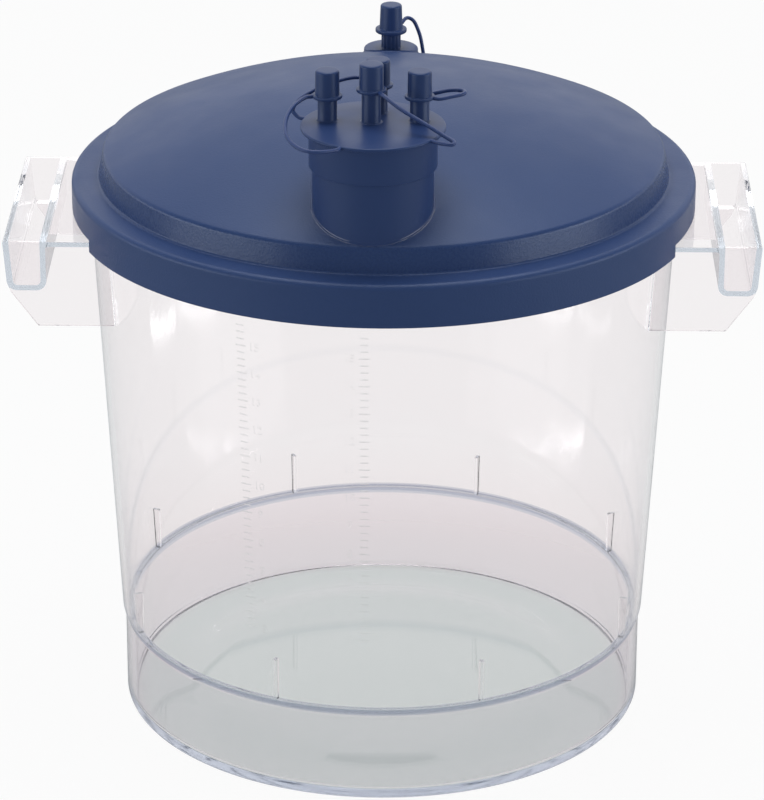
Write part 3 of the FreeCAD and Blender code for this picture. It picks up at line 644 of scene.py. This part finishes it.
def make_lid():
    """Shell opened at handles, spout and boss; plug wall, spout, boss and stem ribs."""
    inner = DOME_CURVE - LID_SHELL
    inner_crease = CREASE_RADIUS - LID_SHELL
    shell = [(0.0, DOME_CENTRE + DOME_CURVE)] + cap_arc(DOME_CURVE, 0.0, CREASE_RADIUS, 40)
    shell += [(CREASE_RADIUS, CREASE_HEIGHT, 3.4), (BAND_RADIUS, RIM_TOP, 1.6), (LID_RADIUS, RIM_TOP, 3.0),
              (LID_RADIUS, SKIRT_LOW, 0.5), (SKIRT_INNER, SKIRT_LOW, 0.5), (SKIRT_INNER, JAR_HEIGHT),
              (CREASE_RADIUS - 0.6, JAR_HEIGHT),
              (inner_crease, DOME_CENTRE + math.sqrt(inner ** 2 - inner_crease ** 2))]
    shell += cap_arc(inner, inner_crease, 0.0, 24) + [(0.0, DOME_CENTRE + inner)]
    bm = bmesh.new()
    add_lathe(bm, rounded(shell[::-1]))
    lid = new_piece("lid_shell", bm)

    bm = bmesh.new()
    reach = LID_RADIUS + 40.0
    below = 200.0
    notch = [(-reach, below), (reach, below), (reach, NOTCH_TOP), (-reach, NOTCH_TOP)]
    add_prism(bm, notch, -NOTCH_HALF, NOTCH_HALF)
    combined(lid, new_piece("notch", bm), "DIFFERENCE")
    low, high = 290.0, 345.0
    bm = bmesh.new()
    for axis, radius in ((SPOUT, SPOUT_RADIUS - SPOUT_WALL / 2), (VACUUM, BOSS_RADIUS - 1.2)):
        add_lathe(bm, [(0.0, low), (radius, low), (radius, high), (0.0, high)], axis, 96)
    combined(lid, new_piece("openings", bm), "DIFFERENCE")
    dress(finish_mesh(lid, 40.0), lid_blue, "lid_blue", "lid", "lid")

    bm = bmesh.new()
    inside = PLUG_RADIUS - PLUG_WALL
    plug_top = JAR_HEIGHT + 1.3
    add_lathe(bm, rounded([(inside, PLUG_LOW, 0.6), (PLUG_RADIUS, PLUG_LOW, 0.8), (PLUG_RADIUS, plug_top),
                           (inside, plug_top)], 3))
    dress(new_piece("lid_plug_wall", bm), lid_blue, "lid_blue", "lid")

    bm = bmesh.new()
    bore = SPOUT_RADIUS - SPOUT_WALL
    # it starts inside the dome
    root = (SPOUT_RADIUS, 303.0)
    top = (SPOUT_RADIUS, SPOUT_TOP)
    spout = [(bore, root[1]), root, *subdivided(root, top, 6), (*top, 0.6), (bore, SPOUT_TOP, 0.6)]
    add_lathe(bm, rounded(spout), SPOUT, 128)
    dress(new_piece("lid_spout", bm), spout_blue, "lid_blue", "lid")

    bm = bmesh.new()
    stem_top = BOSS_TOP + VACUUM_LIFT + VACUUM_CAP_HEIGHT - CAP_ROOF
    boss = [(CHAMBER_RADIUS, SOCKET_LOW), (BOSS_RADIUS, SOCKET_LOW), (BOSS_RADIUS, BOSS_TOP, 0.8),
            (STEM_RADIUS, BOSS_TOP, 0.5), (STEM_RADIUS, stem_top, 0.4), (STEM_BORE, stem_top, 0.3),
            (STEM_BORE, CHAMBER_TOP), (CHAMBER_RADIUS, CHAMBER_TOP)]
    add_lathe(bm, rounded(boss), VACUUM, 96)
    dress(new_piece("lid_vacuum_boss", bm), spout_blue, "lid_blue", "lid")

    # ribs on the vacuum stem, below its cap
    rib = [(0.0, BOSS_TOP - 0.2), (STEM_RIB, BOSS_TOP - 0.2), (STEM_RIB, BOSS_TOP + 7.4, 0.4),
           (0.0, BOSS_TOP + 7.6)]
    bm = bmesh.new()
    for number in range(RIB_COUNT):
        bearing = 2 * math.pi * number / RIB_COUNT
        centre = (VACUUM[0] + STEM_RIB_PLACE * math.cos(bearing),
                  VACUUM[1] + STEM_RIB_PLACE * math.sin(bearing))
        add_lathe(bm, rounded(rib, 3), centre, 12)
    dress(new_piece("lid_stem_ribs", bm), spout_blue, "lid_blue", "lid")


def make_root_fillet(name, axis, radius, fillet, material):
    """Small concave fillet where an upright tube meets the dome."""
    # its section, as distance from the axis and height above the dome
    steps = 6
    angles = [math.pi / 2 * step / steps for step in range(steps + 1)]
    section = [(radius + fillet * (1 - math.sin(angle)), fillet * (1 - math.cos(angle)))
               for angle in angles]
    section += [(radius - 0.4, fillet), (radius - 0.4, -0.3)]
    bm = bmesh.new()
    rows = []
    turns = 128
    for number in range(turns):
        bearing = 2 * math.pi * number / turns
        row = []
        for out, rise in section:
            x = axis[0] + out * math.cos(bearing)
            y = axis[1] + out * math.sin(bearing)
            row.append(bm.verts.new((x * MM, y * MM, (dome_height(x, y) + rise) * MM)))
        rows.append(row)
    for row, following in zip(rows, rows[1:] + rows[:1]):
        for number in range(len(row)):
            after = (number + 1) % len(row)
            bm.faces.new((row[number], row[after], following[after], following[number]))
    dress(new_piece(name, bm, 50.0), material, "lid_blue", "lid")


make_lid()
make_root_fillet("lid_spout_root", SPOUT, SPOUT_RADIUS, 0.8, root_blue)
make_root_fillet("lid_boss_root", VACUUM, BOSS_RADIUS, 1.0, spout_blue)


# Spout cap
def make_spout_cap():
    """Disc with its skirt and inner lip, and the four port stems on it."""
    z = DISC_TOP
    low = z - DISC
    lip_outer = SPOUT_RADIUS - SPOUT_WALL - 0.3
    lip_inner = lip_outer - 1.4
    skirt_inner = SPOUT_RADIUS + 0.3
    outline = [(0.0, low), (lip_inner, low, 0.4), (lip_inner, low - 5.0, 0.3), (lip_outer, low - 5.0, 0.3),
               (lip_outer, low), (skirt_inner, low), (skirt_inner, CAP_SKIRT_LOW, 0.3),
               (CAP_SKIRT_RADIUS, CAP_SKIRT_LOW, 0.4), (CAP_SKIRT_RADIUS, low, 0.6),
               (DISC_RADIUS, low, 0.7), (DISC_RADIUS, z, 0.8), (24.0, z), (12.0, z), (0.0, z)]
    bm = bmesh.new()
    add_lathe(bm, rounded(outline), SPOUT, 160)
    dress(new_piece("spout_cap_body", bm), spout_blue, "lid_blue", "spout_cap", "spout_cap")
    bm = bmesh.new()
    for x, y, lift in PORTS.values():
        top = z + lift + CAP_HEIGHT - CAP_ROOF
        # the foot of each stem flares into the disc
        flare = [(0.0, z - 0.3), (5.7, z - 0.3), (5.6, z + 0.02), (5.15, z + 0.12), (4.85, z + 0.35),
                 (STEM_RADIUS, z + 0.8)]
        stem = flare + [(STEM_RADIUS, top, 0.4), (STEM_BORE, top, 0.3), (STEM_BORE, z + 0.1),
                        (0.0, z + 0.1)]
        add_lathe(bm, rounded(stem, 4), (SPOUT[0] + x, SPOUT[1] + y), 64)
    dress(new_piece("spout_cap_stems", bm), spout_blue, "lid_blue", "spout_cap")


make_spout_cap()


# Caps
def make_tube_cap(name, body, axis, low, outer, taper, ring, ring_depth, height, node):
    """Cap with a flange ring at its open end and a softly rounded top."""
    top = outer - taper
    outline = [(CAP_BORE, low, 0.25), (ring, low, 0.5), (ring, low + ring_depth, 0.5),
               (outer, low + ring_depth, 0.3), (top, low + height, 1.1), (top * 0.55, low + height),
               (0.0, low + height), (0.0, low + height - CAP_ROOF), (CAP_BORE, low + height - CAP_ROOF)]
    bm = bmesh.new()
    add_lathe(bm, rounded(outline), axis, 96)
    dress(new_piece(name, bm, 40.0), cap_blue, "cap_blue", body, node)


for side, (x, y, lift) in PORTS.items():
    make_tube_cap(f"cap_{side}", f"port_cap_{side}", (SPOUT[0] + x, SPOUT[1] + y), DISC_TOP + lift,
                  CAP_RADIUS, CAP_TAPER, RING_RADIUS, RING, CAP_HEIGHT, f"port_cap_{side}")
make_tube_cap("cap_vacuum", "vacuum_cap", VACUUM, BOSS_TOP + VACUUM_LIFT, VACUUM_CAP_RADIUS,
              VACUUM_CAP_TAPER, VACUUM_RING_RADIUS, VACUUM_RING, VACUUM_CAP_HEIGHT, "vacuum_cap")


# Straps. The same route points as in the part, joined by a smooth line.
def on_circle(radius, bearing, height):
    """Point on a circle about the Z axis."""
    angle = math.radians(bearing)
    return (radius * math.cos(angle), radius * math.sin(angle), height)


ROUTES = {
    "left": [(-39.0, -0.8, 9.4), (-42.2, -13.0, 6.0), (-41.2, -25.4, 2.8), (-35.8, -35.4, 0.4),
             (-27.5, -40.4, 0.0)],
    "centre": [(12.5, -10.0, 11.8), (27.0, -16.5, 5.2), (35.4, -20.0, 0.8), (39.4, -22.2, -0.6),
               (38.4, -25.8, -0.9)],
    "right": [(38.5, 5.4, 12.9), (44.6, 8.0, 13.4), (43.4, 13.0, 13.4), (36.5, 15.2, 12.8),
              (27.5, 15.8, 10.2), (23.5, 24.0, 7.0), (24.5, 33.0, 1.5), (21.5, 37.6, -0.9)],
    "rear": [(-12.0, 27.5, 15.0), (-31.5, 18.8, 10.2), (-40.5, 13.5, 3.4)],
}
# bearing of each strap's end on its cap's ring, and of its end on the disc
BEARINGS = {
    "left": (190.0, 244.0),
    "centre": (-55.0, -36.0),
    "right": (-20.0, 60.0),
    "rear": (120.0, 162.0),
}
VACUUM_ROUTE = [(8.0, 13.0, 13.0), (12.0, 14.0, 11.0), (14.4, 13.6, 5.6), (16.2, 12.4, 0.4)]
VACUUM_BEARING = 62.0
VACUUM_FOOT = (17.4, 11.6)
# a strap starts inside the ring or disc that it is moulded on, and leaves it straight
SUNK = -0.8
CLEAR = 0.3
STUB = 3.3


def make_strap(name, origin, points, node):
    """Round strap along a NURBS line."""
    curve = bpy.data.curves.new(name, "CURVE")
    curve.dimensions = "3D"
    spline = curve.splines.new("NURBS")
    spline.points.add(len(points) - 1)
    for point, target in zip(points, spline.points):
        target.co = (*((origin[axis] + point[axis]) * MM for axis in range(3)), 1.0)
    spline.order_u = 3
    spline.use_endpoint_u = True
    spline.resolution_u = 12
    curve.bevel_depth = STRAP_RADIUS * MM
    curve.bevel_resolution = 5
    curve.use_fill_caps = True
    holder = bpy.data.objects.new(name + "_line", curve)
    scene.collection.objects.link(holder)
    mesh = evaluated_mesh(holder)
    bpy.data.objects.remove(holder)
    strap = bpy.data.objects.new(name, mesh)
    scene.collection.objects.link(strap)
    smooth(mesh, 50.0)
    dress(strap, strap_blue, "strap_blue", None, node)
    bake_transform(strap)


for side, (x, y, lift) in PORTS.items():
    ring_bearing, disc_bearing = BEARINGS[side]
    ring_axis = Vector((x, y, lift + RING / 2))
    points = [tuple(ring_axis + Vector(on_circle(RING_RADIUS + out, ring_bearing, 0.0)))
              for out in (SUNK, CLEAR, STUB)]
    points += ROUTES[side]
    points += [on_circle(DISC_RADIUS + out, disc_bearing, -DISC / 2) for out in (STUB, CLEAR, SUNK)]
    make_strap(f"strap_{side}", (*SPOUT, DISC_TOP), points,
               f"tether_{side}")
ring_height = VACUUM_LIFT + VACUUM_RING / 2
foot_height = dome_height(VACUUM[0] + VACUUM_FOOT[0], VACUUM[1] + VACUUM_FOOT[1]) - BOSS_TOP
points = [on_circle(VACUUM_RING_RADIUS + out, VACUUM_BEARING, ring_height) for out in (SUNK, CLEAR, STUB)]
points += VACUUM_ROUTE + [(*VACUUM_FOOT, foot_height - 0.4)]
make_strap("strap_vacuum", (*VACUUM, BOSS_TOP), points, "vacuum_tether")


# Hidden pieces keep their solids
hidden = (("float_cage", cage_white), ("shutoff_float", float_white), ("float_seal", seal_rubber))
for node, material in hidden:
    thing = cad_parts[node]
    thing.data.materials.clear()
    thing.data.materials.append(material)


# Floor, world, lights
def mixed(nodes, links, share, first, second):
    """Shader that goes from the first to the second by a share."""
    mix = nodes.new("ShaderNodeMixShader")
    links.new(share, mix.inputs[0])
    links.new(first, mix.inputs[1])
    links.new(second, mix.inputs[2])
    return mix.outputs[0]


def chosen(nodes, links, share, first, second):
    """Number that goes from the first to the second by a share; each is a socket or a number."""
    mix = nodes.new("ShaderNodeMix")
    mix.data_type = "FLOAT"
    links.new(share, mix.inputs["Factor"])
    for value, name in ((first, "A"), (second, "B")):
        if isinstance(value, float):
            mix.inputs[name].default_value = value
        else:
            links.new(value, mix.inputs[name])
    return mix.outputs["Result"]


TABLE_HALF = 30.0
TABLE_GREY = (0.52, 0.55, 0.57)
# painted shade on the table through clear plastic, grey-blue under the jar, by distance from the jar's axis
# in metres
TABLE_PAINTED_SHADE = ((0.128, (0.77, 0.88, 0.845)), (0.137, (0.94, 0.935, 0.94)), (0.200, (0.96, 0.92, 0.92)),
               (0.320, (1.0, 1.0, 1.0)))
# share of plain white for the camera, and of the painted shade for gloss and, close by and far, through
# plastic
CAMERA_WHITE = 0.95
GLOSS_TINT = 0.1
NEAR_TINT, FAR_TINT = 0.72, 1.0
# gloss of the table beside the jar, as seen through it
TABLE_GLOSS = 0.16
TABLE_ROUGHNESS = 0.06


def make_floor():
    """Pale table, white for the camera; clear plastic shows it with painted shade close by."""
    bm = bmesh.new()
    bmesh.ops.create_grid(bm, x_segments=1, y_segments=1, size=TABLE_HALF)
    floor = new_piece("floor", bm)
    # a hair below the jar's standing face, so that the two don't share a plane
    floor.location.z = -0.1 * MM
    material, nodes, links, shader = new_material("floor")
    shader.inputs["Base Color"].default_value = (*TABLE_GREY, 1.0)
    shader.inputs["Roughness"].default_value = 0.9
    shader.inputs["Specular IOR Level"].default_value = 0.0
    place = nodes.new("ShaderNodeTexCoord")
    distance = nodes.new("ShaderNodeVectorMath")
    distance.operation = "LENGTH"
    links.new(place.outputs["Object"], distance.inputs[0])
    away = nodes.new("ShaderNodeValToRGB")
    stops = away.color_ramp.elements
    nearest, *between, farthest = TABLE_PAINTED_SHADE
    for stop, (position, colour) in zip(stops, (nearest, farthest)):
        stop.position, stop.color = position, (*colour, 1.0)
    for position, colour in between:
        stop = stops.new(position)
        stop.color = (*colour, 1.0)
    links.new(distance.outputs["Value"], away.inputs["Fac"])
    # painted shade: this tint glows grey-blue under the jar and white farther out
    tint = nodes.new("ShaderNodeEmission")
    tint.inputs["Strength"].default_value = 1.0
    links.new(away.outputs["Color"], tint.inputs["Color"])
    plain = nodes.new("ShaderNodeEmission")
    plain.inputs["Strength"].default_value = 1.0
    sheen = nodes.new("ShaderNodeBsdfAnisotropic")
    sheen.inputs["Roughness"].default_value = TABLE_ROUGHNESS
    path = nodes.new("ShaderNodeLightPath")
    by_distance = ranged(nodes, links, distance.outputs["Value"], 0.14, 0.30, NEAR_TINT, FAR_TINT)
    through = weighed(nodes, links, "MULTIPLY", path.outputs["Is Transmission Ray"], by_distance)
    seen = weighed(nodes, links, "MULTIPLY", path.outputs["Is Camera Ray"], CAMERA_WHITE)
    glossy = weighed(nodes, links, "MULTIPLY", path.outputs["Is Glossy Ray"], GLOSS_TINT)
    tinted_share = weighed(nodes, links, "ADD", through, glossy)
    beside = ranged(nodes, links, distance.outputs["Value"], 0.136, 0.142, 0.0, TABLE_GLOSS)
    gloss_share = weighed(nodes, links, "MULTIPLY", path.outputs["Is Transmission Ray"], beside)
    surface = mixed(nodes, links, tinted_share, shader.outputs[0], tint.outputs[0])
    surface = mixed(nodes, links, seen, surface, plain.outputs[0])
    surface = mixed(nodes, links, gloss_share, surface, sheen.outputs[0])
    links.new(surface, nodes["Material Output"].inputs["Surface"])
    floor.data.materials.append(material)


WORLD_LIGHT = 0.30


def make_world():
    """Studio: white for the camera and through clear plastic, dimmer as light, uneven as gloss."""
    world = bpy.data.worlds.new("studio")
    scene.world = world
    world.use_nodes = True
    nodes = world.node_tree.nodes
    links = world.node_tree.links
    background = nodes["Background"]
    path = nodes.new("ShaderNodeLightPath")
    place = nodes.new("ShaderNodeTexCoord")
    split = nodes.new("ShaderNodeSeparateXYZ")
    links.new(place.outputs["Generated"], split.inputs[0])
    # as gloss it brightens towards the back, and low down at both sides
    depth = ranged(nodes, links, split.outputs["Y"], -0.1, 0.95, 0.15, 1.05)
    aside = weighed(nodes, links, "POWER", split.outputs["X"], 2.0)
    sides = ranged(nodes, links, aside, 0.35, 0.95, 0.0, 2.4)
    low = ranged(nodes, links, split.outputs["Z"], 0.08, 0.35, 1.0, 0.0)
    horizon = weighed(nodes, links, "MULTIPLY", sides, low, clamp=False)
    around = weighed(nodes, links, "MAXIMUM", depth, horizon, clamp=False)
    seen = weighed(nodes, links, "ADD", path.outputs["Is Camera Ray"], path.outputs["Is Transmission Ray"])
    lighting = chosen(nodes, links, path.outputs["Is Glossy Ray"], WORLD_LIGHT, around)
    links.new(chosen(nodes, links, seen, lighting, 1.0), background.inputs["Strength"])
    background.inputs["Color"].default_value = (1.0, 1.0, 1.0, 1.0)


LIGHT_TARGET = Vector((0.0, 0.0, 0.2))


def make_light(name, place, size, power):
    """Area lamp aimed at the middle of the jar."""
    data = bpy.data.lights.new(name, "AREA")
    data.shape = "RECTANGLE"
    data.size, data.size_y = size
    data.energy = power
    lamp = bpy.data.objects.new(name, data)
    scene.collection.objects.link(lamp)
    lamp.location = place
    lamp.rotation_euler = (LIGHT_TARGET - Vector(place)).to_track_quat("-Z", "Y").to_euler()
    return lamp


STRIP_DISTANCE = 1.75
STRIP_HEIGHT = 0.570
# bearing from the front towards the left, width, height and power
STRIPS = ((74.0, 0.80, 0.008, 2.4), (96.0, 0.49, 0.011, 3.0), (-70.0, 0.60, 0.009, 0.8),
          (-92.0, 0.60, 0.009, 0.4))


def make_lights():
    """Two wide lamps at the sides and one above; thin strips give the clear jar its glints."""
    softboxes = (make_light("left_softbox", (-1.63, -0.80, 0.42), (1.7, 0.72), 9.0),
                 make_light("right_softbox", (1.69, -0.66, 0.42), (1.5, 0.72), 9.0))
    make_light("top_softbox", (0.0, 0.25, 2.3), (1.8, 1.4), 30.0)
    # the two wide lamps don't light the jar, and are off for transmission rays
    all_but_jar = bpy.data.collections.new("all_but_jar")
    all_but_jar.objects.link(bpy.data.objects["jar_body"])
    all_but_jar.collection_objects[0].light_linking.link_state = "EXCLUDE"
    for lamp in softboxes:
        lamp.light_linking.receiver_collection = all_but_jar
        lamp.visible_transmission = False
    # the strips light the jar and the table's gloss, and nothing else
    clear_pieces = bpy.data.collections.new("clear_pieces")
    for name in ("jar_body", "floor"):
        clear_pieces.objects.link(bpy.data.objects[name])
    for number, (bearing, width, height, power) in enumerate(STRIPS, 1):
        angle = math.radians(bearing)
        place = (-STRIP_DISTANCE * math.sin(angle), -STRIP_DISTANCE * math.cos(angle), STRIP_HEIGHT)
        strip = make_light(f"strip_{number}", place, (width, height), power)
        strip.visible_diffuse = False
        strip.light_linking.receiver_collection = clear_pieces


make_floor()
make_world()
make_lights()


# Camera
FRAME_HEIGHT = 800.0
SENSOR_HEIGHT = 24.0


def make_camera():
    """Pinhole camera solved from the photograph; distances are shares of the lid's radius."""
    unit = LID_RADIUS * MM
    focal, distance = 4035.86, 13.2732 * unit
    aim = Vector((-0.00305 * unit, 0.0, 1.0163 * unit))
    pitch, roll, yaw = 0.4102108, 0.00375, -0.0127207
    sp, cp = math.sin(pitch), math.cos(pitch)
    sr, cr = math.sin(roll), math.cos(roll)
    tilt = Matrix(((1, 0, 0), (0, -sp, -cp), (0, cp, -sp)))
    spin = Matrix(((cr, -sr, 0), (sr, cr, 0), (0, 0, 1)))
    turn = Matrix.Rotation(yaw, 3, "Z")
    # rows: the image's right, down and forward in the world
    rows = spin @ tilt @ turn
    right, down, forward = (Vector(row) for row in rows)
    data = bpy.data.cameras.new("camera")
    camera = bpy.data.objects.new("camera", data)
    scene.collection.objects.link(camera)
    pose = Matrix((right, -down, -forward)).transposed().to_4x4()
    pose.translation = aim - forward * distance
    camera.matrix_world = pose
    # the longer side of the frame is its height; the focal length is in its pixels
    data.sensor_fit = "VERTICAL"
    data.sensor_height = SENSOR_HEIGHT
    data.lens = focal * SENSOR_HEIGHT / FRAME_HEIGHT
    data.clip_end = 100.0
    scene.camera = camera


make_camera()
scene.view_settings.view_transform = "Standard"
# light has to find its way along the thin clear walls
BOUNCES = 40
scene.cycles.max_bounces = BOUNCES
scene.cycles.glossy_bounces = BOUNCES
scene.cycles.transmission_bounces = BOUNCES
